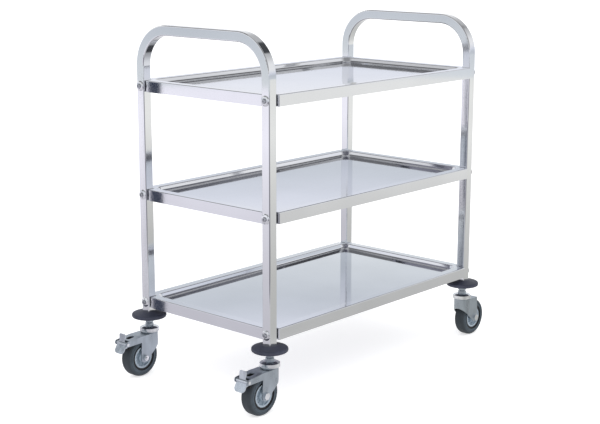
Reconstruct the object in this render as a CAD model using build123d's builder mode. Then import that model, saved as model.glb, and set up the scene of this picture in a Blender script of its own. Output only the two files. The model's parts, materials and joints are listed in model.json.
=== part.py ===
"""Three-tier stainless steel food service trolley on four swivel casters.

X runs along the trolley's length, Y across it and Z up.  The origin is on the floor, under the
middle of the trolley's overall box.  All sizes are in millimetres.
"""
import os
from math import cos, radians, sin

from build123d import *

os.makedirs("parts", exist_ok=True)

# ---------------------------------------------------------------- driving dimensions
frame_length = 810.0        # outer face of one hoop to the outer face of the other
hoop_width = 445.0          # outer faces of one hoop's two legs
overall_height = 890.0      # floor to the top of the hoops
tube = 25.0                 # square tube, outside
tube_corner = 3.0
tube_wall = 1.2
bend_radius = 90.0          # hoop bend, on the tube's centre line
leg_foot = 162.0            # height of the open lower end of each leg

tray_length = 800.0
tray_width = 455.0
flange_height = 28.0
sheet = 1.2                 # stainless sheet
first_tray = 174.0          # floor to the lower edge of the bottom tray
middle_tray = 452.0         # the middle tray sits a little above half way
top_tray = 724.0
rim_width = 24.0
basin_depth = 13.0
basin_corner = 24.0
basin_taper = 22.0          # slope of the basin wall, degrees off vertical
notch_gap = 2.0             # gap between a leg and the tray's notch
basin_foot = 8.0            # cove between the basin's wall and its floor
basin_roll = 2.5            # rolled edge between the rim and the basin's wall
outline_corner = 2.5
rim_bend = 2.0
lip_width = 8.0

screw_d = 6.0
screw_clearance = 0.6
screw_head_d = 12.0
screw_head_h = 3.6
washer_d = 25.0
washer_h = 3.4
weld_nut_af = 10.0
weld_nut_h = 5.0
screw_point = 3.0           # how far a screw stands through its weld nut
cross_length = 6.0          # recess in a screw head
cross_width = 1.3
cross_depth = 2.0
washer_edge = 0.8           # thickness of a domed washer at its rim
washer_bands = 3            # cones that make up its dome
spacer_d = 16.0

bumper_d = 88.0
bumper_t = 19.0
bumper_rim = 9.0            # thickness at the rim
bumper_rim_round = 4.0
bumper_flat_r = 17.0        # flat middle of each face
plug_length = 20.0
lock_nut_af = 19.0
lock_nut_h = 7.0
lock_washer_d = 24.0
lock_washer_h = 1.6

wheel_d = 100.0
tyre_width = 32.0
tyre_inner_d = 68.0
tread_round = 9.0
groove_r = 39.0
groove_depth = 1.2          # in each side wall
groove_width = 2.0
rim_width_y = 29.0
hub_d = 57.4
hub_width = 28.0
barrel_d = 24.0             # hub barrel, between the fork's cheeks
barrel_play = 0.8           # from each end of the barrel to its cheek
dish_r = 19.5               # ring-shaped dish in each face of the hub
dish_width = 9.0
dish_depth = 2.5
trail = 36.0                # swivel axis to axle
fork_gap = 37.0             # between the fork's two cheeks
fork_sheet = 2.5
crown_top = 108.0
crown_end = 44.0            # swivel axis to the crown's flat end, along the trail
front_foot = 84.0           # lower edge of the fork's round front
axle_boss_r = 12.0          # round lower end of each cheek
lower_race_r = 20.5
lower_race_h = 5.0
kingpin_d = 12.0
kingpin_head_r = 8.0
kingpin_head_h = 3.0
kingpin_head_gap = 0.5      # from the kingpin's head up to the crown
stem_hex_af = 19.0
stem_hex_h = 7.0
shoulder_d = 12.0
thread_d = 8.0
axle_head_af = 16.0
axle_head_h = 5.5
axle_nut_af = 13.0
axle_nut_h = 7.0
axle_point = 3.0            # how far the axle's thread stands through its nut
running_gap = 0.05          # radial, a shaft in its bore
end_play = 0.1              # from the axle's shoulder to the inner cheek
race_d = 49.0
dome_flat_r = 11.0          # flat middle of the upper race's dome
dome_arc = 24.0             # radius of the dome's shoulder
dome_drop = 4.0             # from the dome's flat middle down to its shoulder
race_t = 4.5
skirt_t = 2.0
ball_r = 2.2
ball_count = 10
ball_ring_r = 15.0
ball_lift = 7.6             # crown to the middle of the balls
hinge_reach = 92.0          # swivel axis to the brake pedal's hinge
hinge_height = 97.0
hood_start = 29.0           # middle of the hood's inner end, along the trail
hood_size = (38.0, 16.0)    # length and height of that end
ear_r = 6.5                 # round outer end of the hood, about the hinge
slot_middle = 66.0          # slot in the hood's roof, along the trail
slot_size = (22.0, 13.0)
slot_depth = 15.0           # how far below the crown the slot's cut starts
pin_r = 2.5
pin_head_r = 4.0
pin_head_h = 1.5
pedal_barrel_r = 4.8
pedal_play = 0.8            # from each end of the pedal's barrel to its ear
tab_t = 2.4
upper_tab = (21.0, 25.0, 4.0)    # width, length from the hinge, lean in degrees towards the wheel
lower_tab = (33.0, 27.0, 30.0)   # width, length from the hinge, lean in degrees away from it
upper_tab_corner = 4.0
lower_tab_corner = 10.0
cam = (20.0, 14.0, 31.0)         # width, length, lean towards the wheel: the lobe that faces the shoe
cam_t = 5.0
shoe_t = 3.0
shoe_width = 26.0
tie_reach = 52.0                 # block between the shoe and the hood's roof
tie_size = (4.0, 24.0)
tie_h = 4.0
through = 150.0                  # longer than any piece a cut has to pass

# ---------------------------------------------------------------- places that follow
wheel_r = wheel_d / 2
tab_lean = radians(lower_tab[2])
pedal_reach = hinge_reach + lower_tab[1] * sin(tab_lean) + tab_t / 2 * cos(tab_lean)
# The pedals reach further out than the plain casters, so the frame stands off the middle.
frame_x = (pedal_reach - trail - wheel_r) / 2
leg_x = frame_length / 2 - tube / 2
leg_y = hoop_width / 2 - tube / 2
tray_levels = {
    "bottom": first_tray,
    "middle": middle_tray,
    "top": top_tray,
}
screw_height = flange_height / 2
notch_x = frame_length / 2 - tube - notch_gap
notch_y = hoop_width / 2 - tube - notch_gap

# name: (side along X, side along Y, has a brake)
corners = {
    "front_left": (-1, -1, True),
    "back_left": (-1, 1, True),
    "front_right": (1, -1, False),
    "back_right": (1, 1, False),
}


def save(builder, name):
    """Label one finished piece and write its STEP file."""
    builder.part.label = name
    export_step(builder.part, f"parts/{name}.step")


# ---------------------------------------------------------------- hoops
def make_hoop(name, side):
    """One inverted U of square tube: two legs and the push handle between them."""
    x = frame_x + side * leg_x
    top = overall_height - tube / 2
    with BuildPart() as hoop:
        with BuildLine(Plane.YZ.offset(x)) as path:
            FilletPolyline(
                (-leg_y, leg_foot),
                (-leg_y, top),
                (leg_y, top),
                (leg_y, leg_foot),
                radius=bend_radius,
            )
        with BuildSketch(Plane(origin=(x, -leg_y, leg_foot), z_dir=(0, 0, 1))):
            RectangleRounded(tube, tube, tube_corner)
            RectangleRounded(
                tube - 2 * tube_wall, tube - 2 * tube_wall, tube_corner - tube_wall, mode=Mode.SUBTRACT
            )
        sweep(path=path.wires()[0])
        with BuildSketch(Plane.YZ.offset(x)):
            for level in tray_levels.values():
                with Locations((-leg_y, level + screw_height), (leg_y, level + screw_height)):
                    Circle((screw_d + screw_clearance) / 2)
        extrude(amount=tube, both=True, mode=Mode.SUBTRACT)
    save(hoop, name)


# ---------------------------------------------------------------- trays
def tray_outline(inset):
    """Corner points of a tray seen from above, with a notch for a leg at every corner."""
    a = tray_length / 2 - inset
    b = tray_width / 2 - inset
    c = notch_x - inset
    d = notch_y - inset
    quarter = [(c, b), (c, d), (a, d)]
    points = quarter
    points = points + [(x, -y) for x, y in reversed(quarter)]
    points = points + [(-x, -y) for x, y in quarter]
    points = points + [(-x, y) for x, y in reversed(quarter)]
    return [(x + frame_x, y) for x, y in points]


def basin_form(rim_top, grow):
    """The sunk basin's space, or its outside when it is grown by the sheet."""
    opening_x = tray_length - 2 * rim_width
    opening_y = tray_width - 2 * rim_width
    with BuildPart() as form:
        with BuildSketch(Plane.XY.offset(rim_top)):
            with Locations((frame_x, 0)):
                RectangleRounded(opening_x + 2 * grow, opening_y + 2 * grow, basin_corner + grow)
        extrude(amount=-basin_depth - grow, taper=basin_taper)
        fillet(form.faces().sort_by(Axis.Z)[0].edges(), basin_foot + grow)
    return form.part


def make_tray(name, level):
    """One pressed tray: folded outer flange with a return lip, flat rim and sunk basin."""
    rim_top = level + flange_height
    with BuildPart() as tray:
        with BuildSketch(Plane.XY.offset(level)) as outline:
            Polygon(*tray_outline(0), align=None)
            fillet(outline.vertices(), outline_corner)
        extrude(amount=flange_height)
        fillet(tray.faces().sort_by(Axis.Z)[-1].edges(), rim_bend)
        with BuildSketch(Plane.XY.offset(level)) as hollow:
            Polygon(*tray_outline(sheet), align=None)
            fillet(hollow.vertices(), outline_corner - sheet)
        extrude(amount=flange_height - sheet, mode=Mode.SUBTRACT)
        with BuildSketch(Plane.XY.offset(level)):
            Polygon(*tray_outline(sheet / 2), align=None)
            Polygon(*tray_outline(lip_width), align=None, mode=Mode.SUBTRACT)
        extrude(amount=sheet)
        add(basin_form(rim_top, sheet))
        add(basin_form(rim_top, 0), mode=Mode.SUBTRACT)
        fillet(tray.faces().sort_by(Axis.Z)[-1].inner_wires()[0].edges(), basin_roll)
        with BuildSketch(Plane.YZ.offset(frame_x)):
            with Locations((-leg_y, level + screw_height), (leg_y, level + screw_height)):
                Circle((screw_d + screw_clearance) / 2)
        extrude(amount=tray_length / 2, both=True, mode=Mode.SUBTRACT)
    save(tray, name)


# ---------------------------------------------------------------- tray fasteners
def fastener_planes(stand_off):
    """A plane at each of the 12 tray screws, facing out, so far out from the leg's outer face."""
    planes = []
    for level in tray_levels.values():
        for side_x, side_y, _ in corners.values():
            x = frame_x + side_x * (frame_length / 2 + stand_off)
            origin = (x, side_y * leg_y, level + screw_height)
            planes.append(Plane(origin=origin, x_dir=(0, side_x, 0), z_dir=(side_x, 0, 0)))
    return planes


def make_tray_screws():
    """Cross-recess pan head screws, in from the outer face of each leg to the weld nut."""
    shank = washer_h + tube + notch_gap + sheet + weld_nut_h + screw_point
    with BuildPart() as screws:
        with BuildSketch(*fastener_planes(washer_h)):
            Circle(screw_d / 2)
        extrude(amount=-shank)
        with BuildSketch(*fastener_planes(washer_h)):
            Circle(screw_head_d / 2)
        extrude(amount=screw_head_h)
        rims = screws.edges().filter_by(GeomType.CIRCLE).filter_by(
            lambda e: abs(e.radius - screw_head_d / 2) < 0.01
            and abs(abs(e.center().X - frame_x) - frame_length / 2 - washer_h - screw_head_h) < 0.01
        )
        fillet(rims, screw_head_h * 0.7)
        with BuildSketch(*fastener_planes(washer_h + screw_head_h)):
            Rectangle(cross_length, cross_width)
            Rectangle(cross_width, cross_length)
        extrude(amount=-cross_depth, mode=Mode.SUBTRACT)
    save(screws, "tray_screws")


def make_tray_washers():
    """Large domed washers between the screw heads and the legs."""
    inner = (screw_d + screw_clearance) / 2
    dome = []
    for band in range(washer_bands + 1):
        outward = 1 - band / washer_bands
        radius = screw_head_d / 2 + outward * (washer_d - screw_head_d) / 2
        dome.append((radius, washer_h - (washer_h - washer_edge) * outward ** 2))
    with BuildPart() as washers:
        for plane in fastener_planes(0):
            side = Plane(origin=plane.origin, x_dir=plane.y_dir, z_dir=plane.x_dir)
            with BuildSketch(side):
                with BuildLine():
                    Polyline((inner, 0), (washer_d / 2, 0), *dome, (inner, washer_h), (inner, 0))
                make_face()
            revolve(axis=Axis(plane.origin, plane.z_dir))
    save(washers, "tray_washers")


def make_tray_spacers():
    """Dark nylon rings that keep each leg off the tray's notch wall."""
    with BuildPart() as spacers:
        with BuildSketch(*fastener_planes(-tube)):
            Circle(spacer_d / 2)
            Circle((screw_d + screw_clearance) / 2, mode=Mode.SUBTRACT)
        extrude(amount=-notch_gap)
    save(spacers, "tray_spacers")


def make_weld_nuts():
    """Hexagon weld nuts on the inside of each notch wall."""
    with BuildPart() as nuts:
        with BuildSketch(*fastener_planes(-tube - notch_gap - sheet)):
            RegularPolygon(weld_nut_af / 2, 6, major_radius=False)
            Circle(screw_d / 2, mode=Mode.SUBTRACT)
        extrude(amount=-weld_nut_h)
    save(nuts, "tray_weld_nuts")


# ---------------------------------------------------------------- feet
def make_leg_plugs():
    """Square plugs inside the leg ends, which take the caster stems."""
    inside = tube - 2 * tube_wall
    with BuildPart() as plugs:
        with BuildSketch(Plane.XY.offset(leg_foot)):
            with Locations((frame_x, 0)):
                with GridLocations(2 * leg_x, 2 * leg_y, 2, 2):
                    RectangleRounded(inside, inside, tube_corner - tube_wall)
                    Circle(kingpin_d / 2, mode=Mode.SUBTRACT)
        extrude(amount=plug_length)
    save(plugs, "leg_plugs")


def make_bumper(name, x, y):
    """Round rubber bumper, thinner at its rim, clamped between the leg's end and the lock nut."""
    middle = leg_foot - bumper_t / 2
    with BuildPart() as bumper:
        with BuildSketch(Plane(origin=(x, y, middle), x_dir=(1, 0, 0), z_dir=(0, -1, 0))) as profile:
            Polygon(
                (kingpin_d / 2, -bumper_t / 2),
                (bumper_flat_r, -bumper_t / 2),
                (bumper_d / 2, -bumper_rim / 2),
                (bumper_d / 2, bumper_rim / 2),
                (bumper_flat_r, bumper_t / 2),
                (kingpin_d / 2, bumper_t / 2),
                align=None,
            )
            fillet(profile.vertices().sort_by(Axis.X)[-2:], bumper_rim_round)
        revolve(axis=Axis((x, y, 0), (0, 0, 1)))
    save(bumper, name)


# ---------------------------------------------------------------- casters
roof_bend = 48.0                   # reach at which the hood's roof starts to slope
roof_end = hinge_reach - 8.0
roof_drop = 4.3                    # how far the roof has dropped at its end
shoe_gap = 2.0
shoe_angles = (32.0, 53.0, 75.0)   # ends and middle of the shoe, degrees up from level
dome_top = crown_top + 16.0        # top of the upper race
skirt_foot = crown_top + 3.0       # lower edge of the upper race
stem_top = leg_foot + plug_length - 2.0


def make_stem(name, x, y):
    """Kingpin, hexagon and threaded stem in one: the caster's fixed core."""
    head_top = crown_top - fork_sheet - kingpin_head_gap
    with BuildPart() as stem:
        with BuildSketch(Plane.XY.offset(head_top - kingpin_head_h)):
            with Locations((x, y)):
                Circle(kingpin_head_r)
        extrude(amount=kingpin_head_h)
        with BuildSketch(Plane.XY.offset(head_top - kingpin_head_h / 2)):
            with Locations((x, y)):
                Circle(kingpin_d / 2)
        extrude(amount=stem_top - head_top + kingpin_head_h / 2)
        with BuildSketch(Plane.XY.offset(dome_top)):
            with Locations((x, y)):
                RegularPolygon(stem_hex_af / 2, 6, major_radius=False)
        extrude(amount=stem_hex_h)
    save(stem, name)


def make_lock_nuts():
    """Lock nuts that clamp the bumpers up against the leg ends."""
    with BuildPart() as nuts:
        with BuildSketch(Plane.XY.offset(leg_foot - bumper_t)):
            with Locations((frame_x, 0)):
                with GridLocations(2 * leg_x, 2 * leg_y, 2, 2):
                    Circle(lock_washer_d / 2)
                    Circle(kingpin_d / 2, mode=Mode.SUBTRACT)
        extrude(amount=-lock_washer_h)
        with BuildSketch(Plane.XY.offset(leg_foot - bumper_t - lock_washer_h)):
            with Locations((frame_x, 0)):
                with GridLocations(2 * leg_x, 2 * leg_y, 2, 2):
                    RegularPolygon(lock_nut_af / 2, 6, major_radius=False)
                    Circle(kingpin_d / 2, mode=Mode.SUBTRACT)
        extrude(amount=-lock_nut_h)
    save(nuts, "lock_nuts")


def make_upper_race(name, x, y):
    """Domed bearing cap with a skirt, fixed to the stem."""
    side = Plane(origin=(x, y, 0), x_dir=(1, 0, 0), z_dir=(0, -1, 0))
    r = race_d / 2
    with BuildPart() as race:
        with BuildSketch(side):
            with BuildLine():
                Polyline(
                    (kingpin_d / 2, dome_top),
                    (kingpin_d / 2, dome_top - race_t),
                    (r - race_t / 2, dome_top - race_t - 1.0),
                    (r - skirt_t, skirt_foot),
                    (r, skirt_foot),
                    (r, dome_top - dome_drop),
                )
                RadiusArc((r, dome_top - dome_drop), (dome_flat_r, dome_top), -dome_arc)
                Line((dome_flat_r, dome_top), (kingpin_d / 2, dome_top))
            make_face()
        revolve(axis=Axis((x, y, 0), (0, 0, 1)))
    save(race, name)


def make_race_balls(name, x, y):
    """Ring of steel balls between the two races."""
    with BuildPart() as balls:
        with Locations((x, y, crown_top + ball_lift)):
            with PolarLocations(ball_ring_r, ball_count):
                Sphere(ball_r)
    save(balls, name)


def make_fork(name, x, y, side, brake):
    """Pressed fork with its lower race; the braked one has a hood that carries the pedal."""
    middle = Plane.XZ.offset(-y)
    outer = fork_gap / 2 + fork_sheet

    def at(reach, height):
        """Point on the fork's side view, reach measured from the swivel axis along the trail."""
        return (x + side * reach, height)

    with BuildPart() as fork:
        with BuildSketch(middle) as profile:
            with BuildLine():
                Polyline(
                    at(-outer, crown_top),
                    at(-outer, front_foot),
                    at(trail, wheel_r),
                    at(crown_end, crown_top),
                    at(-outer, crown_top),
                )
            make_face()
            with Locations(at(trail, wheel_r)):
                Circle(axle_boss_r)
            make_hull()
            if brake:
                with BuildSketch(middle, mode=Mode.PRIVATE) as hood:
                    with Locations(at(hood_start, crown_top - hood_size[1] / 2)):
                        Rectangle(*hood_size)
                    with Locations(at(hinge_reach, hinge_height)):
                        Circle(ear_r)
                    make_hull()
                add(hood.sketch_local)
        extrude(amount=outer, both=True)
        # Seen from above, the front is a half circle about the swivel axis.
        with BuildSketch(Plane.XY):
            with Locations((x, y)):
                Circle(outer)
            with Locations(at(through / 2, y)):
                Rectangle(through, 2 * outer)
        extrude(amount=through, mode=Mode.INTERSECT)
        # The space between the cheeks, under the crown, is open.
        with BuildSketch(Plane.XY):
            with Locations((x, y)):
                Circle(fork_gap / 2)
            with Locations(at(roof_bend / 2, y)):
                Rectangle(roof_bend, fork_gap)
        extrude(amount=crown_top - fork_sheet, mode=Mode.SUBTRACT)
        with BuildSketch(middle):
            Polygon(
                at(roof_bend, 0),
                at(roof_bend, crown_top - fork_sheet),
                at(roof_end, crown_top - fork_sheet - roof_drop),
                at(roof_end, through),
                at(through, through),
                at(through, 0),
                align=None,
            )
        extrude(amount=fork_gap / 2, both=True, mode=Mode.SUBTRACT)
        if brake:
            with BuildSketch(Plane.XY.offset(crown_top - slot_depth)):
                with Locations(at(slot_middle, y)):
                    SlotOverall(*slot_size)
            extrude(amount=2 * slot_depth, mode=Mode.SUBTRACT)
        # The lower race.
        with BuildSketch(Plane.XY.offset(crown_top)):
            with Locations((x, y)):
                Circle(lower_race_r)
        extrude(amount=lower_race_h)
        with BuildSketch(Plane.XY.offset(crown_top - fork_sheet)):
            with Locations((x, y)):
                Circle(kingpin_d / 2 + running_gap)
        extrude(amount=fork_sheet + lower_race_h, mode=Mode.SUBTRACT)
        # Axle holes: the shoulder's in the outer cheek, the thread's in the inner one.
        outward = 1 if y > 0 else -1
        with BuildSketch(middle):
            with Locations(at(trail, wheel_r)):
                Circle(thread_d / 2 + running_gap)
        extrude(amount=outer, both=True, mode=Mode.SUBTRACT)
        with BuildSketch(middle):
            with Locations(at(trail, wheel_r)):
                Circle(shoulder_d / 2)
        extrude(amount=-outer * outward, mode=Mode.SUBTRACT)
        if brake:
            with BuildSketch(middle):
                with Locations(at(hinge_reach, hinge_height)):
                    Circle(pin_r)
            extrude(amount=outer, both=True, mode=Mode.SUBTRACT)
    save(fork, name)


def make_axle(name, x, y, side):
    """Shoulder bolt: hexagon head outside, shoulder through the hub, thread through the inner cheek."""
    outward = 1 if y > 0 else -1
    cheek = fork_gap / 2 + fork_sheet
    head = Plane(
        origin=(x + side * trail, y + outward * cheek, wheel_r), x_dir=(1, 0, 0), z_dir=(0, outward, 0)
    )
    with BuildPart() as axle:
        with BuildSketch(head):
            RegularPolygon(axle_head_af / 2, 6, major_radius=False)
        extrude(amount=axle_head_h)
        with BuildSketch(head):
            Circle(shoulder_d / 2)
        extrude(amount=-cheek - fork_gap / 2 + end_play)
        with BuildSketch(head):
            Circle(thread_d / 2)
        extrude(amount=-2 * cheek - axle_nut_h - axle_point)
    save(axle, name)


def make_axle_nut(name, x, y, side):
    """Lock nut on the inner end of the axle."""
    outward = 1 if y > 0 else -1
    cheek = fork_gap / 2 + fork_sheet
    seat = Plane(
        origin=(x + side * trail, y - outward * cheek, wheel_r), x_dir=(1, 0, 0), z_dir=(0, -outward, 0)
    )
    with BuildPart() as nut:
        with BuildSketch(seat):
            RegularPolygon(axle_nut_af / 2, 6, major_radius=False)
            Circle(thread_d / 2, mode=Mode.SUBTRACT)
        extrude(amount=axle_nut_h)
    save(nut, name)


def wheel_section(x, y, side):
    """Plane through the wheel's axle: local X runs along the axle, local Y out to the tread."""
    return Plane(origin=(x + side * trail, y, wheel_r), x_dir=(0, 1, 0), z_dir=(1, 0, 0))


def make_tyre(name, x, y, side):
    """Solid rubber tyre with a round tread and a shallow groove in each side wall."""
    section = wheel_section(x, y, side)
    inner = tyre_inner_d / 2
    with BuildPart() as tyre:
        with BuildSketch(section) as profile:
            with Locations((0, (inner + wheel_r) / 2)):
                Rectangle(tyre_width, wheel_r - inner)
            fillet(profile.vertices().sort_by(Axis.Y)[-2:], tread_round)
            with Locations((-tyre_width / 2, groove_r), (tyre_width / 2, groove_r)):
                Rectangle(2 * groove_depth, groove_width, mode=Mode.SUBTRACT)
        revolve(axis=Axis(section.origin, (0, 1, 0)))
    save(tyre, name)


def make_rim(name, x, y, side):
    """Black ring between the tyre and the hub disc, set back from both."""
    section = wheel_section(x, y, side)
    with BuildPart() as rim:
        with BuildSketch(section):
            with Locations((0, (hub_d + tyre_inner_d) / 4)):
                Rectangle(rim_width_y, (tyre_inner_d - hub_d) / 2)
        revolve(axis=Axis(section.origin, (0, 1, 0)))
    save(rim, name)


def make_hub(name, x, y, side):
    """Wheel centre: a disc with a longer barrel that runs on the axle's shoulder."""
    section = wheel_section(x, y, side)
    bore = shoulder_d / 2 + running_gap
    with BuildPart() as hub:
        with BuildSketch(section):
            with Locations((0, (bore + hub_d / 2) / 2)):
                Rectangle(hub_width, hub_d / 2 - bore)
            with Locations((0, (bore + barrel_d / 2) / 2)):
                Rectangle(fork_gap - 2 * barrel_play, barrel_d / 2 - bore)
            for face in (-hub_width / 2, hub_width / 2):
                with Locations((face, dish_r)):
                    Rectangle(2 * dish_depth, dish_width, mode=Mode.SUBTRACT)
        revolve(axis=Axis(section.origin, (0, 1, 0)))
    save(hub, name)


# ---------------------------------------------------------------- brakes
def tab_plane(x, y, side, reach, rise):
    """Plane of a flat tab that leaves the hinge in the direction (reach, rise)."""
    origin = (x + side * hinge_reach, y, hinge_height)
    return Plane(origin=origin, x_dir=(0, 1, 0), z_dir=(rise, 0, -side * reach))


def make_pedal(name, x, y, side):
    """Butterfly brake pedal: press the lower tab to brake, the upper tab to release."""
    middle = Plane.XZ.offset(-y)
    hinge = (x + side * hinge_reach, hinge_height)
    up_width, up_length, up_lean = upper_tab
    down_width, down_length, down_lean = lower_tab
    cam_width, cam_length, cam_lean = cam
    up = tab_plane(x, y, side, -sin(radians(up_lean)), cos(radians(up_lean)))
    down = tab_plane(x, y, side, sin(radians(down_lean)), -cos(radians(down_lean)))
    lobe = tab_plane(x, y, side, -sin(radians(cam_lean)), -cos(radians(cam_lean)))
    with BuildPart() as pedal:
        with BuildSketch(middle):
            with Locations(hinge):
                Circle(pedal_barrel_r)
        extrude(amount=fork_gap / 2 - pedal_play, both=True)
        with BuildSketch(lobe):
            with Locations((0, cam_length / 2)):
                Rectangle(cam_width, cam_length)
        extrude(amount=cam_t / 2, both=True)
        with BuildSketch(up):
            with Locations((0, up_length / 2)):
                RectangleRounded(up_width, up_length, upper_tab_corner)
        extrude(amount=tab_t / 2, both=True)
        with BuildSketch(down):
            with Locations((0, down_length / 2)):
                RectangleRounded(down_width, down_length, lower_tab_corner)
        extrude(amount=tab_t / 2, both=True)
        with BuildSketch(middle):
            with Locations(hinge):
                Circle(pin_r + running_gap)
        extrude(amount=fork_gap / 2, both=True, mode=Mode.SUBTRACT)
    save(pedal, name)


def make_pedal_pin(name, x, y, side):
    """Headed pin through both ears of the hood and the pedal."""
    middle = Plane.XZ.offset(-y)
    hinge = (x + side * hinge_reach, hinge_height)
    outer = fork_gap / 2 + fork_sheet
    with BuildPart() as pin:
        with BuildSketch(middle):
            with Locations(hinge):
                Circle(pin_r)
        extrude(amount=outer + pin_head_h, both=True)
        for face in (-1, 1):
            with BuildSketch(Plane.XZ.offset(-y + face * outer)):
                with Locations(hinge):
                    Circle(pin_head_r)
            extrude(amount=face * pin_head_h)
    save(pin, name)


def make_brake_shoe(name, x, y, side):
    """Curved brake shoe under the hood's roof, standing just off the tyre."""
    middle = Plane.XZ.offset(-y)
    inner = wheel_r + shoe_gap
    outer = inner + shoe_t

    def on_arc(radius, angle):
        """Point so far from the axle, at an angle up from the level."""
        reach = radius * cos(radians(angle))
        return (x + side * (trail + reach), wheel_r + radius * sin(radians(angle)))

    first, middle_angle, last = shoe_angles
    with BuildPart() as shoe:
        with BuildSketch(middle):
            with BuildLine():
                ThreePointArc(on_arc(inner, first), on_arc(inner, middle_angle), on_arc(inner, last))
                Line(on_arc(inner, last), on_arc(outer, last))
                ThreePointArc(on_arc(outer, last), on_arc(outer, middle_angle), on_arc(outer, first))
                Line(on_arc(outer, first), on_arc(inner, first))
            make_face()
        extrude(amount=shoe_width / 2, both=True)
        # A block ties the shoe to the roof above it.
        tie_end = tie_reach + tie_size[0] / 2
        roof = crown_top - fork_sheet - roof_drop * (tie_end - roof_bend) / (roof_end - roof_bend)
        with BuildSketch(Plane.XY.offset(roof)):
            with Locations((x + side * tie_reach, y)):
                Rectangle(*tie_size)
        extrude(amount=-tie_h)
    save(shoe, name)


# ---------------------------------------------------------------- build everything
make_hoop("hoop_left", -1)
make_hoop("hoop_right", 1)
for tier, tray_level in tray_levels.items():
    make_tray(f"tray_{tier}", tray_level)
make_tray_screws()
make_tray_washers()
make_tray_spacers()
make_weld_nuts()
make_leg_plugs()
make_lock_nuts()

for corner, (side_x, side_y, has_brake) in corners.items():
    stem_x = frame_x + side_x * leg_x
    stem_y = side_y * leg_y
    make_bumper(f"bumper_{corner}", stem_x, stem_y)
    make_stem(f"stem_{corner}", stem_x, stem_y)
    make_upper_race(f"race_{corner}", stem_x, stem_y)
    make_race_balls(f"race_balls_{corner}", stem_x, stem_y)
    make_fork(f"fork_{corner}", stem_x, stem_y, side_x, has_brake)
    make_axle(f"axle_{corner}", stem_x, stem_y, side_x)
    make_axle_nut(f"axle_nut_{corner}", stem_x, stem_y, side_x)
    make_tyre(f"tyre_{corner}", stem_x, stem_y, side_x)
    make_rim(f"rim_{corner}", stem_x, stem_y, side_x)
    make_hub(f"hub_{corner}", stem_x, stem_y, side_x)
    if has_brake:
        make_pedal(f"pedal_{corner}", stem_x, stem_y, side_x)
        make_pedal_pin(f"pedal_pin_{corner}", stem_x, stem_y, side_x)
        make_brake_shoe(f"brake_shoe_{corner}", stem_x, stem_y, side_x)
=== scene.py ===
"""Looks of the food service trolley: materials, trim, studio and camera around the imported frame.

Everything is in metres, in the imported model's own frame: X along the trolley, Y across it, Z up.
"""
import json
import math

import bmesh
import bpy
from mathutils import Matrix, Vector


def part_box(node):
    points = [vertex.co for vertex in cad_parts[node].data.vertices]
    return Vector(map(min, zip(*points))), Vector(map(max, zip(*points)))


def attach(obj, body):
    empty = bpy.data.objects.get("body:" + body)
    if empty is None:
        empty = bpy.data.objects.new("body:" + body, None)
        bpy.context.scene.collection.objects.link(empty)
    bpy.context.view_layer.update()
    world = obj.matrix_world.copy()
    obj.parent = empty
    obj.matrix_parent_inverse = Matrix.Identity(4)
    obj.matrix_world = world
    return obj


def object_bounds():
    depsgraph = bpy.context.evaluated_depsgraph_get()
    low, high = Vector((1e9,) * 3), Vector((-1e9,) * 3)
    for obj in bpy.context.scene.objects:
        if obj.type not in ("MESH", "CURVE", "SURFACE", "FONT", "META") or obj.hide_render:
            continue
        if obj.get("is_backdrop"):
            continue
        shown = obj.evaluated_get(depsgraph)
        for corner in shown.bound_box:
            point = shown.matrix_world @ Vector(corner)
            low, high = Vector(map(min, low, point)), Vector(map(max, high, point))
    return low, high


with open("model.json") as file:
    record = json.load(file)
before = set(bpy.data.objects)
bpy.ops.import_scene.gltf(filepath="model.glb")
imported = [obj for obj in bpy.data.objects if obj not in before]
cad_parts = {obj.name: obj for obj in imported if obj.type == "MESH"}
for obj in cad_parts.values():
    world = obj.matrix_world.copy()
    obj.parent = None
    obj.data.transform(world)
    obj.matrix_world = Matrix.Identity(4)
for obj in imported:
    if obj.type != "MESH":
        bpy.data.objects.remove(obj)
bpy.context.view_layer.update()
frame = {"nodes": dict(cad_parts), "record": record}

# The colour sockets of a Mix node, which share their names with its other kinds of socket.
MIX_FIRST, MIX_SECOND, MIX_RESULT = 6, 7, 2

Y_AXIS = (0.0, 1.0, 0.0)
Z_AXIS = (0.0, 0.0, 1.0)
WHITE = (1.0, 1.0, 1.0)

# ---------------------------------------------------------------- places taken from the frame
nodes = frame["nodes"]
corners = ("front_left", "back_left", "front_right", "back_right")
hoop_low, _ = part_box("hoop_left")
_, hoop_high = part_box("hoop_right")
frame_x = (hoop_low.x + hoop_high.x) / 2


def middle(node):
    """The middle of a node's box at rest."""
    low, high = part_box(node)
    return (low + high) / 2


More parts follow.
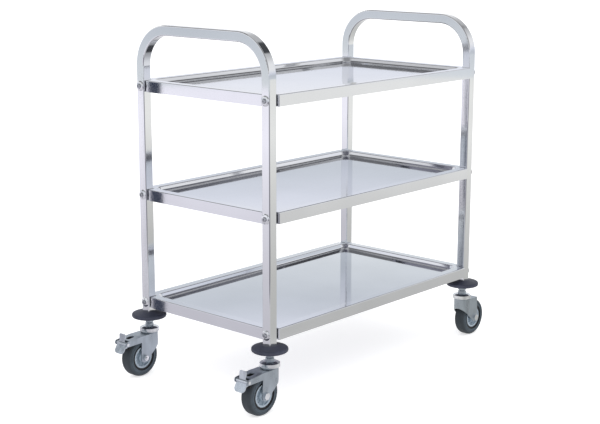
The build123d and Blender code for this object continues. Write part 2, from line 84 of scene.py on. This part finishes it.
# ---------------------------------------------------------------- material helpers
class Shader:
    """A node material with one Principled shader and short ways to add and join nodes."""

    def __init__(self, name, color, roughness, metallic=0.0, **sockets):
        self.material = bpy.data.materials.new(name)
        self.material.use_nodes = True
        self.tree = self.material.node_tree
        self.shader = self.tree.nodes["Principled BSDF"]
        self.shader.inputs["Base Color"].default_value = (*color, 1.0)
        self.shader.inputs["Roughness"].default_value = roughness
        self.shader.inputs["Metallic"].default_value = metallic
        for socket, value in sockets.items():
            self.shader.inputs[socket.replace("_", " ")].default_value = value
        coordinates = self.tree.nodes.new("ShaderNodeTexCoord")
        self.object = coordinates.outputs["Object"]
        self.generated = coordinates.outputs["Generated"]

    def node(self, kind, **inputs):
        """A new node with links or values on its named inputs."""
        node = self.tree.nodes.new(kind)
        for socket, value in inputs.items():
            target = node.inputs[socket.replace("_", " ")]
            if isinstance(value, bpy.types.NodeSocket):
                self.tree.links.new(value, target)
            else:
                target.default_value = value
        return node

    def stretched(self, scale):
        """Object coordinates scaled along each axis."""
        return self.node("ShaderNodeMapping", Vector=self.object, Scale=scale).outputs["Vector"]

    def noise(self, scale, stretch=(1, 1, 1), detail=3.0, rough=0.5):
        """Cloudy noise in object coordinates, finer for a larger scale."""
        vector = self.stretched(stretch)
        node = self.node(
            "ShaderNodeTexNoise", Vector=vector, Scale=scale, Detail=detail, Roughness=rough
        )
        return node.outputs["Fac"]

    def ranged(self, value, low, high, from_low=0.3, from_high=0.7):
        """The value brought from one range into another."""
        node = self.node(
            "ShaderNodeMapRange", Value=value, From_Min=from_low, From_Max=from_high,
            To_Min=low, To_Max=high,
        )
        return node.outputs["Result"]

    def bands(self, value, stops):
        """A colour ramp over (position, colour) stops."""
        node = self.node("ShaderNodeValToRGB", Fac=value)
        elements = node.color_ramp.elements
        while len(elements) < len(stops):
            elements.new(0.5)
        for element, (position, color) in zip(elements, stops):
            element.position = position
            element.color = (*color, 1.0)
        return node.outputs["Color"]

    def multiplied(self, first, second):
        """Two colours multiplied together."""
        node = self.tree.nodes.new("ShaderNodeMix")
        node.data_type = "RGBA"
        node.blend_type = "MULTIPLY"
        node.inputs["Factor"].default_value = 1.0
        self.tree.links.new(first, node.inputs[MIX_FIRST])
        self.tree.links.new(second, node.inputs[MIX_SECOND])
        return node.outputs[MIX_RESULT]

    def around_axle(self, size):
        """Distance from a wheel part's axle, in metres, from the part's own box."""
        scaled = self.node(
            "ShaderNodeMapping", Vector=self.generated,
            Location=(-size / 2, 0.0, -size / 2), Scale=(size, 0.0, size),
        )
        length = self.tree.nodes.new("ShaderNodeVectorMath")
        length.operation = "LENGTH"
        self.tree.links.new(scaled.outputs["Vector"], length.inputs[0])
        return length.outputs["Value"]

    def give(self, socket, output):
        """Link an output to one of the shader's own sockets."""
        self.tree.links.new(output, self.shader.inputs[socket])

    def bump(self, height, strength, distance):
        """Relief from a height, over a distance in metres."""
        node = self.node("ShaderNodeBump", Height=height, Strength=strength, Distance=distance)
        self.give("Normal", node.outputs["Normal"])


def shade(color, value):
    """A colour darkened by a factor."""
    return tuple(channel * value for channel in color)


# ---------------------------------------------------------------- materials
painted_underside_shade = (0.58, 0.58, 0.62)     # painted shade on undersides, as a share of the tone of the faces above
mill_roughness = 0.48
underside_begins, underside_full = -0.6, -0.95    # upright part of a face's normal
skin_scale = 1400.0                  # fine pits in moulded rubber and plastic
skin_depth = 0.0003
moulded_gloss = 0.35


def polished_steel(name, color, roughness, grain, waves, dull_and_shaded_below=False):
    """Polished stainless steel: grain lines along one axis, soft stains and a faint waviness.

    Asked to, it leaves undersides duller, as they came from the mill, and darkens their tone with
    painted shade.
    """
    m = Shader(name, color, roughness, metallic=1.0)
    lines = m.noise(60.0, grain, detail=5.0, rough=0.65)
    stains = m.noise(6.0, detail=2.0)
    tint = m.bands(stains, [(0.3, shade(color, 0.94)), (0.7, color)])
    polish = m.ranged(lines, roughness * 0.7, roughness * 1.35)
    if dull_and_shaded_below:
        surface = m.tree.nodes.new("ShaderNodeNewGeometry")
        normal = m.node("ShaderNodeSeparateXYZ", Vector=surface.outputs["True Normal"])
        upright = normal.outputs["Z"]
        # Painted shade: undersides get a darker tone, fading in as a face turns downward; only
        # their roughness is the mill finish.
        polished = m.ranged(upright, 0.0, 1.0, underside_full, underside_begins)
        tint = m.multiplied(tint, m.bands(polished, [(0.0, painted_underside_shade), (1.0, WHITE)]))
        least = m.ranged(upright, mill_roughness, 0.0, underside_full, underside_begins)
        dullest = m.tree.nodes.new("ShaderNodeMath")
        dullest.operation = "MAXIMUM"
        m.tree.links.new(polish, dullest.inputs[0])
        m.tree.links.new(least, dullest.inputs[1])
        polish = dullest.outputs[0]
    m.give("Base Color", tint)
    m.give("Roughness", polish)
    swell = m.noise(3.0, waves, detail=1.0)
    swell_bump = m.node("ShaderNodeBump", Height=swell, Strength=0.25, Distance=0.0010)
    line_bump = m.node(
        "ShaderNodeBump", Height=lines, Strength=0.05, Distance=0.0002,
        Normal=swell_bump.outputs["Normal"],
    )
    m.give("Normal", line_bump.outputs["Normal"])
    return m.material


def plated_steel(name, color, roughness):
    """Zinc plated pressed steel: cloudy plating and fine pits."""
    m = Shader(name, color, roughness, metallic=1.0)
    clouds = m.noise(55.0, (1, 1, 0.4), detail=4.0)
    pits = m.noise(900.0, detail=2.0)
    m.give("Base Color", m.bands(clouds, [(0.3, shade(color, 0.72)), (0.7, color)]))
    m.give("Roughness", m.ranged(clouds, roughness * 0.75, roughness * 1.35))
    m.bump(pits, 0.10, 0.0002)
    return m.material


def moulded(name, color, roughness, pitted, wear):
    """Moulded rubber or plastic: fine pitted skin, uneven tone and a few dusty scuffs."""
    m = Shader(name, color, roughness, Specular_IOR_Level=moulded_gloss)
    skin = m.noise(skin_scale, detail=2.0)
    tone = m.noise(35.0, detail=5.0)
    m.give("Base Color", m.bands(tone, [(0.35, shade(color, 0.8)), (0.75, shade(color, wear))]))
    m.give("Roughness", m.ranged(tone, roughness * 0.85, min(1.0, roughness * 1.15)))
    m.bump(skin, pitted, skin_depth)
    return m.material


def banded(name, size, roughness, stops, pitted):
    """A moulded wheel part of a given diameter, whose tone changes in rings about its axle; the
    darker rings are painted shade.
    """
    m = Shader(name, stops[0][1], roughness, Specular_IOR_Level=moulded_gloss)
    radius = m.around_axle(size)
    ringed = m.bands(
        m.ranged(radius, 0.0, 1.0, 0.0, size / 2), [(r / (size / 2), color) for r, color in stops]
    )
    dust = m.bands(m.noise(60.0, detail=5.0), [(0.3, (0.78, 0.78, 0.78)), (0.75, WHITE)])
    m.give("Base Color", m.multiplied(ringed, dust))
    m.bump(m.noise(skin_scale, detail=2.0), pitted, skin_depth)
    return m.material


tyre_diameter = 0.100
hub_diameter = 0.0574

tube_steel = (0.80, 0.81, 0.83)
sheet_steel = (0.79, 0.80, 0.83)
# Tyre tones: the side wall's own tone, with painted shade over the shoulder and tread and near
# black at the inner edge by the hub.
tread_in_shade = (0.030, 0.039, 0.048)
side_wall = (0.090, 0.118, 0.145)
inner_edge_shade = (0.010, 0.014, 0.019)
# Hub tones: its own light grey, and a darker one that is painted shade in its recessed dish.
hub_light = (0.47, 0.55, 0.63)
hub_dish_shade = (0.22, 0.28, 0.34)
materials = {
    "polished_tube": polished_steel("polished_tube", tube_steel, 0.07, (9, 9, 0.4), (8, 8, 1)),
    "polished_sheet": polished_steel(
        "polished_sheet", sheet_steel, 0.07, (0.4, 9, 9), (1, 1, 1), dull_and_shaded_below=True
    ),
    "steel_screws": plated_steel("steel_screws", (0.50, 0.51, 0.54), 0.20),
    "steel_washers": plated_steel("steel_washers", (0.86, 0.87, 0.89), 0.12),
    "zinc": plated_steel("zinc", (0.44, 0.49, 0.54), 0.32),
    "bright_zinc": plated_steel("bright_zinc", (0.86, 0.88, 0.90), 0.16),
    "pedal_zinc": plated_steel("pedal_zinc", (0.66, 0.71, 0.76), 0.22),
    "nylon": moulded("nylon", (0.03, 0.03, 0.033), 0.55, 0.15, 1.3),
    "bumper_rubber": moulded("bumper_rubber", (0.036, 0.040, 0.064), 0.52, 0.20, 1.3),
    # Rings of painted shade on the tyre: darker from the shoulder out to the tread, near black at
    # its inner edge by the hub.
    "tyre_rubber": banded(
        "tyre_rubber", tyre_diameter, 0.62,
        [(0.034, inner_edge_shade), (0.0352, side_wall), (0.0405, side_wall), (0.043, shade(side_wall, 0.55)),
         (0.047, tread_in_shade), (0.0498, tread_in_shade)],
        0.25,
    ),
    "shoe_rubber": moulded("shoe_rubber", (0.02, 0.02, 0.02), 0.70, 0.25, 1.3),
    "black_plastic": moulded("black_plastic", (0.006, 0.007, 0.009), 0.45, 0.12, 1.3),
    # Rings of painted shade on the hub: darker across the recessed dish, and a little towards the
    # outer rim.
    "grey_plastic": banded(
        "grey_plastic", hub_diameter, 0.40,
        [(0.004, hub_light), (0.0118, hub_light), (0.0128, hub_dish_shade), (0.0235, hub_dish_shade),
         (0.0245, hub_light), (0.0285, shade(hub_light, 0.9))],
        0.10,
    ),
}

for entry in frame["record"]["subparts"]:
    node = nodes[entry["node"]]
    node.data.materials.clear()
    node.data.materials.append(materials[entry["material_slot"]])


# ---------------------------------------------------------------- detail pieces
def add_piece(name, mesh, slot, body, smooth=True):
    """Put a finished mesh in the scene with its slot's material, riding on a body."""
    if smooth:
        mesh.polygons.foreach_set("use_smooth", [True] * len(mesh.polygons))
    mesh.materials.append(materials[slot])
    piece = bpy.data.objects.new(name, mesh)
    bpy.context.scene.collection.objects.link(piece)
    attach(piece, body)
    return piece


def turned_mesh(name, centre, axis, profiles, steps=72):
    """Closed rings turned about an axis from (distance along it, radius) outlines."""
    along = Vector(axis)
    side = along.orthogonal().normalized()
    third = along.cross(side)
    verts, faces = [], []
    for profile in profiles:
        start, count = len(verts), len(profile)
        for step in range(steps):
            angle = 2 * math.pi * step / steps
            out = side * math.cos(angle) + third * math.sin(angle)
            verts += [tuple(centre + along * h + out * r) for h, r in profile]
        for step in range(steps):
            here, there = start + step * count, start + (step + 1) % steps * count
            for k in range(count):
                n = (k + 1) % count
                faces.append((here + k, here + n, there + n, there + k))
    mesh = bpy.data.meshes.new(name)
    mesh.from_pydata(verts, [], faces)
    mesh.update()
    bm = bmesh.new()
    bm.from_mesh(mesh)
    bmesh.ops.recalc_face_normals(bm, faces=bm.faces)
    bm.to_mesh(mesh)
    bm.free()
    return mesh


def bead(height, radius, size, sides=8):
    """A round outline for a small bead, at a distance along the axis and a radius from it."""
    return [
        (height + size * math.sin(2 * math.pi * k / sides),
         radius + size * math.cos(2 * math.pi * k / sides))
        for k in range(sides)
    ]


def thread_mesh(name, centre, axis, length, radius, pitch, depth):
    """A screw thread's ridge wound about a rod."""
    along = Vector(axis)
    side = along.orthogonal().normalized()
    third = along.cross(side)
    steps_per_turn = 24
    flank = pitch * 0.42
    section = ((-flank, -depth), (0.0, 0.0), (flank, -depth))
    verts, faces = [], []
    total = int(steps_per_turn * (length / pitch))
    for step in range(total + 1):
        angle = 2 * math.pi * step / steps_per_turn
        height = -length / 2 + length * step / total
        out = side * math.cos(angle) + third * math.sin(angle)
        verts += [tuple(centre + along * (height + h) + out * (radius + r)) for h, r in section]
        if step < total:
            a, b = step * 3, step * 3 + 3
            faces += [(a, a + 1, b + 1, b), (a + 1, a + 2, b + 2, b + 1), (a + 2, a, b, b + 2)]
    faces += [(0, 2, 1), (total * 3, total * 3 + 1, total * 3 + 2)]
    mesh = bpy.data.meshes.new(name)
    mesh.from_pydata(verts, [], faces)
    mesh.update()
    return mesh


def rib_mesh(name, centre, count, inner, outer, thick, layers):
    """Radial ribs between two radii, with eased edges, in each (low, high) layer along Y."""
    bm = bmesh.new()
    for low, high in layers:
        for k in range(count):
            turn = Matrix.Rotation(2 * math.pi * k / count, 4, "Y")
            made = bmesh.ops.create_cube(bm, size=1.0)["verts"]
            size = Matrix.Diagonal((outer - inner, high - low, thick, 1.0))
            place = Matrix.Translation(((inner + outer) / 2, (low + high) / 2, 0.0))
            bmesh.ops.transform(
                bm, matrix=Matrix.Translation(centre) @ turn @ place @ size, verts=made
            )
    mesh = bpy.data.meshes.new(name)
    bmesh.ops.bevel(
        bm, geom=list(bm.edges), offset=thick * 0.3, segments=2, affect="EDGES", profile=0.5
    )
    bm.to_mesh(mesh)
    bm.free()
    return mesh


# Sizes of the trim, in metres. A bead is given by its radius about the axle and its own size.
hub_face = 0.014                     # from the middle of the hub to its face
tyre_beads = ((0.0364, 0.0006), (0.0412, 0.0006))
tyre_bead_sunk = 0.0003              # its centre lies this far inside the side wall
hub_beads = ((0.0270, 0.0009), (0.0245, 0.0005), (0.0142, 0.0006))
rib_count = 8
rib_inner, rib_outer, rib_thick = 0.0145, 0.0245, 0.0016
rib_top, rib_foot = 0.0006, 0.0026   # depths below the hub's face
seat_above, seat_below = 0.0150, 0.0155    # radii of the rings on the bumper's two faces
seat_size = 0.0004
cap_bead_size = 0.0010
cap_bead_sunk, cap_bead_lift = 0.0006, 0.0012
thread_radius, thread_pitch, thread_depth = 0.0042, 0.00125, 0.0006
thread_share = 0.7                   # of the bare end of the axle
shortest_end = 0.001                 # an end shorter than this is the axle's head
steps, fine_steps = 72, 96           # facets round a ring

for corner in corners:
    wheel, swivel = f"wheel_{corner}", f"swivel_{corner}"
    axle = middle(f"hub_{corner}")
    tyre_low, tyre_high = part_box(f"tyre_{corner}")
    tyre_face = (tyre_high.y - tyre_low.y) / 2

    # Raised lips on both side walls of the tyre.
    lips = [
        bead(side * (tyre_face - tyre_bead_sunk), radius, size)
        for side in (-1, 1) for radius, size in tyre_beads
    ]
    mesh = turned_mesh(f"tyre_lips_{corner}", axle, Y_AXIS, lips, fine_steps)
    add_piece(f"tyre_lips_{corner}", mesh, "tyre_rubber", wheel)

    # Rounded lips on the hub's outer edge and about its dish, and ribs in the dish.
    lips = [bead(side * hub_face, radius, size) for side in (-1, 1) for radius, size in hub_beads]
    mesh = turned_mesh(f"hub_lips_{corner}", axle, Y_AXIS, lips, steps)
    add_piece(f"hub_lips_{corner}", mesh, "grey_plastic", wheel)
    layers = [
        (hub_face - rib_foot, hub_face - rib_top),
        (-hub_face + rib_top, -hub_face + rib_foot),
    ]
    mesh = rib_mesh(
        f"hub_ribs_{corner}", axle, rib_count, rib_inner, rib_outer, rib_thick, layers
    )
    add_piece(f"hub_ribs_{corner}", mesh, "grey_plastic", wheel, smooth=False)

    # Seat rings on the bumper, above and below.
    low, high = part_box(f"bumper_{corner}")
    half = (high.z - low.z) / 2
    rings = [
        bead(half - seat_size, seat_above, seat_size),
        bead(-half + seat_size, seat_below, seat_size),
    ]
    mesh = turned_mesh(f"bumper_rings_{corner}", middle(f"bumper_{corner}"), Z_AXIS, rings, steps)
    add_piece(f"bumper_rings_{corner}", mesh, "bumper_rubber", "frame")

    # Rolled edge of the bearing cap's skirt.
    race_low, race_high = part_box(f"race_{corner}")
    centre = middle(f"race_{corner}")
    centre.z = race_low.z + cap_bead_lift
    rings = [bead(0.0, (race_high.x - race_low.x) / 2 - cap_bead_sunk, cap_bead_size)]
    mesh = turned_mesh(f"race_bead_{corner}", centre, Z_AXIS, rings, steps)
    add_piece(f"race_bead_{corner}", mesh, "bright_zinc", "frame")

    # Thread on the axle's bare end, outside its nut, on whichever side that is.
    nut_low, nut_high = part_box(f"axle_nut_{corner}")
    axle_low, axle_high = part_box(f"axle_{corner}")
    end_low, end_high = nut_high.y, axle_high.y
    if end_high - end_low < shortest_end:
        end_low, end_high = axle_low.y, nut_low.y
    spot = Vector((axle.x, (end_low + end_high) / 2, axle.z))
    mesh = thread_mesh(
        f"axle_thread_{corner}", spot, Y_AXIS, (end_high - end_low) * thread_share,
        thread_radius, thread_pitch, thread_depth,
    )
    add_piece(f"axle_thread_{corner}", mesh, "bright_zinc", swivel, smooth=False)


# ---------------------------------------------------------------- studio
lamp_white = (0.98, 0.985, 1.0)
floor_size = 60.0


def staged(name, verts, faces):
    """A piece of the studio, from its points and faces."""
    mesh = bpy.data.meshes.new(name)
    mesh.from_pydata(verts, [], faces)
    obj = bpy.data.objects.new(name, mesh)
    bpy.context.scene.collection.objects.link(obj)
    obj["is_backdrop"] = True
    return obj


def flat_sheet(name, width, depth):
    """A flat sheet about its own middle, facing up."""
    a, b = width / 2, depth / 2
    return staged(name, [(-a, -b, 0), (a, -b, 0), (a, b, 0), (-a, b, 0)], [(0, 1, 2, 3)])


def direction(azimuth):
    """A level direction, from its angle in degrees from X towards Y."""
    angle = math.radians(azimuth)
    return (math.cos(angle), math.sin(angle), 0.0)


def only_reflected(obj):
    """A studio card that polished metal mirrors, and that neither shows nor throws a shadow."""
    obj.visible_camera = False
    obj.visible_diffuse = False
    obj.visible_shadow = False
    obj.visible_transmission = False
    obj.visible_volume_scatter = False


def glowing(name, color):
    """A card's material: black, with its own light."""
    m = Shader(name, (0, 0, 0), 1.0, Specular_IOR_Level=0.0)
    m.shader.inputs["Emission Color"].default_value = (*color, 1.0)
    m.shader.inputs["Emission Strength"].default_value = 1.0
    return m


def make_floor():
    """A pale floor, lit a little from below like a light table."""
    floor = flat_sheet("floor", floor_size, floor_size)
    m = Shader("pale_floor", (0.80, 0.80, 0.80), 0.9, Specular_IOR_Level=0.0)
    m.shader.inputs["Emission Color"].default_value = (*WHITE, 1.0)
    m.shader.inputs["Emission Strength"].default_value = 0.55
    floor.data.materials.append(m.material)


def make_reflected_floor():
    """What the steel sees of the floor: greyer near the trolley, where a painted shadow of it
    lies, and dark towards the camera.
    """
    lift, reach = 0.001, 4.0             # height over the floor, and where it is brightest
    cool_side, dark_side = -41.0, -132.0
    dark_from, dark_to = 0.7, 1.5
    card = flat_sheet("reflected_floor", floor_size, floor_size)
    card.location = (frame_x, 0.0, lift)
    m = glowing("reflected_floor", WHITE)
    length = m.tree.nodes.new("ShaderNodeVectorMath")
    length.operation = "LENGTH"
    m.tree.links.new(m.object, length.inputs[0])
    distance = length.outputs["Value"]
    # Painted shadow: the reflected floor is greyer in a ring about the trolley, brightening out
    # towards reach.
    brightness = m.bands(
        m.ranged(distance, 0.0, 1.0, 0.0, reach),
        [(0.125, (0.80, 0.80, 0.80)), (0.155, (0.60, 0.60, 0.60)), (0.25, (0.62, 0.62, 0.62)),
         (0.6, (0.82, 0.82, 0.82)), (1.0, WHITE)],
    )
    heading = m.tree.nodes.new("ShaderNodeVectorMath")
    heading.operation = "NORMALIZE"
    m.tree.links.new(m.object, heading.inputs[0])

    def facing(azimuth):
        """From 0, opposite a direction, to 1, along it."""
        dot = m.tree.nodes.new("ShaderNodeVectorMath")
        dot.operation = "DOT_PRODUCT"
        m.tree.links.new(heading.outputs["Vector"], dot.inputs[0])
        dot.inputs[1].default_value = direction(azimuth)
        return m.ranged(dot.outputs["Value"], 0.0, 1.0, -1.0, 1.0)

    tint = m.bands(facing(cool_side), [(0.1, (1.08, 1.06, 1.15)), (0.9, (0.97, 0.97, 0.94))])
    far_behind = m.tree.nodes.new("ShaderNodeMath")
    far_behind.operation = "MULTIPLY"
    m.tree.links.new(facing(dark_side), far_behind.inputs[0])
    m.tree.links.new(m.ranged(distance, 0.0, 1.0, dark_from, dark_to), far_behind.inputs[1])
    behind = m.bands(far_behind.outputs[0], [(0.74, WHITE), (0.95, (0.30, 0.30, 0.33))])
    m.give("Emission Color", m.multiplied(m.multiplied(brightness, tint), behind))
    card.data.materials.append(m.material)
    only_reflected(card)


def make_backdrop():
    """A ring of paper round the trolley, brightest at its top, for the trays to mirror."""
    segments, radius, low, high = 64, 1.9, 0.56, 1.25
    verts, faces = [], []
    for k in range(segments):
        angle = 2 * math.pi * k / segments
        x, y = frame_x + radius * math.cos(angle), radius * math.sin(angle)
        verts += [(x, y, low), (x, y, high)]
        a, b = 2 * k, 2 * ((k + 1) % segments)
        faces.append((a, b, b + 1, a + 1))
    card = staged("backdrop", verts, faces)
    m = glowing("backdrop_paper", WHITE)
    height = m.tree.nodes.new("ShaderNodeSeparateXYZ")
    m.tree.links.new(m.object, height.inputs[0])
    paper = m.bands(
        m.ranged(height.outputs["Z"], 0.0, 1.0, low, high),
        [(0.0, (0.80, 0.84, 0.87)), (0.32, (0.62, 0.66, 0.72)), (0.50, (0.78, 0.81, 0.90)),
         (0.75, (0.95, 0.96, 1.0)), (1.0, WHITE)],
    )
    m.give("Emission Color", paper)
    m.shader.inputs["Emission Strength"].default_value = 1.02
    card.data.materials.append(m.material)
    only_reflected(card)


def make_dark_stand():
    """A narrow dark stand off the left end, mirrored at one end of each end flange."""
    outward = Vector((-0.674, 0.739, 0.0))
    across = Vector((0.739, 0.674, 0.0))
    width, height, reach = 0.036, 0.72, 0.50
    start = Vector((frame_x - 0.400, 0.141, 0.0)) + outward * reach
    centre = start + across * (width / 2) + Vector((0, 0, height / 2))
    turn = Matrix((across, Vector(Z_AXIS), -outward)).transposed().to_4x4()
    card = flat_sheet("dark_stand", width, height)
    card.matrix_world = Matrix.Translation(centre) @ turn
    card.data.materials.append(glowing("dark_stand", (0.035, 0.045, 0.075)).material)
    only_reflected(card)


def make_world():
    """Even white light, which polished metal sees with darker places between the lamps."""
    light_from, light_to, overhead = 0.30, 0.62, 0.55   # upright part of a ray, and its dimming
    between_lamps = (0.004, 0.006, 0.012)
    world = bpy.data.worlds.new("studio")
    bpy.context.scene.world = world
    world.use_nodes = True
    tree = world.node_tree

    def math_node(operation, first, second):
        node = tree.nodes.new("ShaderNodeMath")
        node.operation = operation
        for k, value in enumerate((first, second)):
            if isinstance(value, bpy.types.NodeSocket):
                tree.links.new(value, node.inputs[k])
            else:
                node.inputs[k].default_value = value
        return node.outputs[0]

    def ranged(value, from_low, from_high, low, high):
        node = tree.nodes.new("ShaderNodeMapRange")
        node.interpolation_type = "SMOOTHSTEP"
        tree.links.new(value, node.inputs["Value"])
        for socket, number in (
            ("From Min", from_low), ("From Max", from_high), ("To Min", low), ("To Max", high)
        ):
            node.inputs[socket].default_value = number
        return node.outputs["Result"]

    def dot(vector):
        node = tree.nodes.new("ShaderNodeVectorMath")
        node.operation = "DOT_PRODUCT"
        tree.links.new(ray, node.inputs[0])
        node.inputs[1].default_value = vector
        return node.outputs["Value"]

    ray = tree.nodes.new("ShaderNodeTexCoord").outputs["Generated"]
    up = dot(Z_AXIS)

    def dark_place(azimuth, elevation, half_width, half_height, depth):
        """What is left of the light in a soft-edged oval, given in degrees."""
        x, y, _ = direction(azimuth)
        front = dot((x, y, 0.0))
        across = math_node("DIVIDE", dot((-y, x, 0.0)), math.sin(math.radians(half_width)))
        above = math_node(
            "DIVIDE", math_node("SUBTRACT", up, math.sin(math.radians(elevation))),
            math.sin(math.radians(half_height)),
        )
        squares = math_node(
            "ADD", math_node("MULTIPLY", across, across), math_node("MULTIPLY", above, above)
        )
        inside = ranged(squares, 0.6, 1.5, 1.0, 0.0)
        inside = math_node("MULTIPLY", inside, ranged(front, 0.0, 0.2, 0.0, 1.0))
        return math_node("SUBTRACT", 1.0, math_node("MULTIPLY", inside, depth))

    light = ranged(up, light_from, light_to, 1.0, overhead)
    for place in (
        (-14.0, 42.0, 14.0, 6.0, 0.88),
        (112.0, 40.0, 26.0, 12.0, 0.66),
        (-132.0, 20.0, 48.0, 45.0, 0.40),
    ):
        light = math_node("MULTIPLY", light, dark_place(*place))
    tinted = tree.nodes.new("ShaderNodeMix")
    tinted.data_type = "RGBA"
    tree.links.new(light, tinted.inputs["Factor"])
    tinted.inputs[MIX_FIRST].default_value = (*between_lamps, 1.0)
    tinted.inputs[MIX_SECOND].default_value = (*lamp_white, 1.0)

    pattern = tree.nodes["Background"]
    tree.links.new(tinted.outputs[MIX_RESULT], pattern.inputs["Color"])
    plain = tree.nodes.new("ShaderNodeBackground")
    plain.inputs["Color"].default_value = (*lamp_white, 1.0)
    mix = tree.nodes.new("ShaderNodeMixShader")
    kind = tree.nodes.new("ShaderNodeLightPath")
    tree.links.new(kind.outputs["Is Glossy Ray"], mix.inputs["Fac"])
    tree.links.new(plain.outputs["Background"], mix.inputs[1])
    tree.links.new(pattern.outputs["Background"], mix.inputs[2])
    tree.links.new(mix.outputs["Shader"], tree.nodes["World Output"].inputs["Surface"])


def make_key_light():
    """A large soft lamp high to the camera's left, which the steel doesn't mirror."""
    place, target = Vector((-2.5, -1.5, 3.2)), Vector((frame_x, 0.0, 0.5))
    light = bpy.data.lights.new("key", "AREA")
    light.shape = "RECTANGLE"
    light.size = light.size_y = 2.5
    light.energy = 30.0
    obj = bpy.data.objects.new("key", light)
    obj.location = place
    obj.rotation_euler = (target - place).to_track_quat("-Z", "Y").to_euler()
    bpy.context.scene.collection.objects.link(obj)
    obj.visible_glossy = False


def make_camera():
    """The camera stands off the front left corner, a little above the top tray."""
    place = Vector((frame_x - 2.573, -2.242, 1.131))
    heading = math.radians(48.37)
    tilt = math.radians(-12.30)
    roll = math.radians(0.12)
    camera = bpy.data.cameras.new("camera")
    camera.sensor_width = 36.0
    camera.lens = 79.75
    obj = bpy.data.objects.new("camera", camera)
    turn = (
        Matrix.Rotation(-heading, 4, "Z")
        @ Matrix.Rotation(math.pi / 2 + tilt, 4, "X")
        @ Matrix.Rotation(roll, 4, "Z")
    )
    obj.matrix_world = Matrix.Translation(place) @ turn
    bpy.context.scene.collection.objects.link(obj)
    bpy.context.scene.camera = obj


make_floor()
make_reflected_floor()
make_backdrop()
make_dark_stand()
make_world()
make_key_light()
make_camera()
bpy.context.scene.view_settings.view_transform = "Standard"

# ---------------------------------------------------------------- sizes, then the end
low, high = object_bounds()
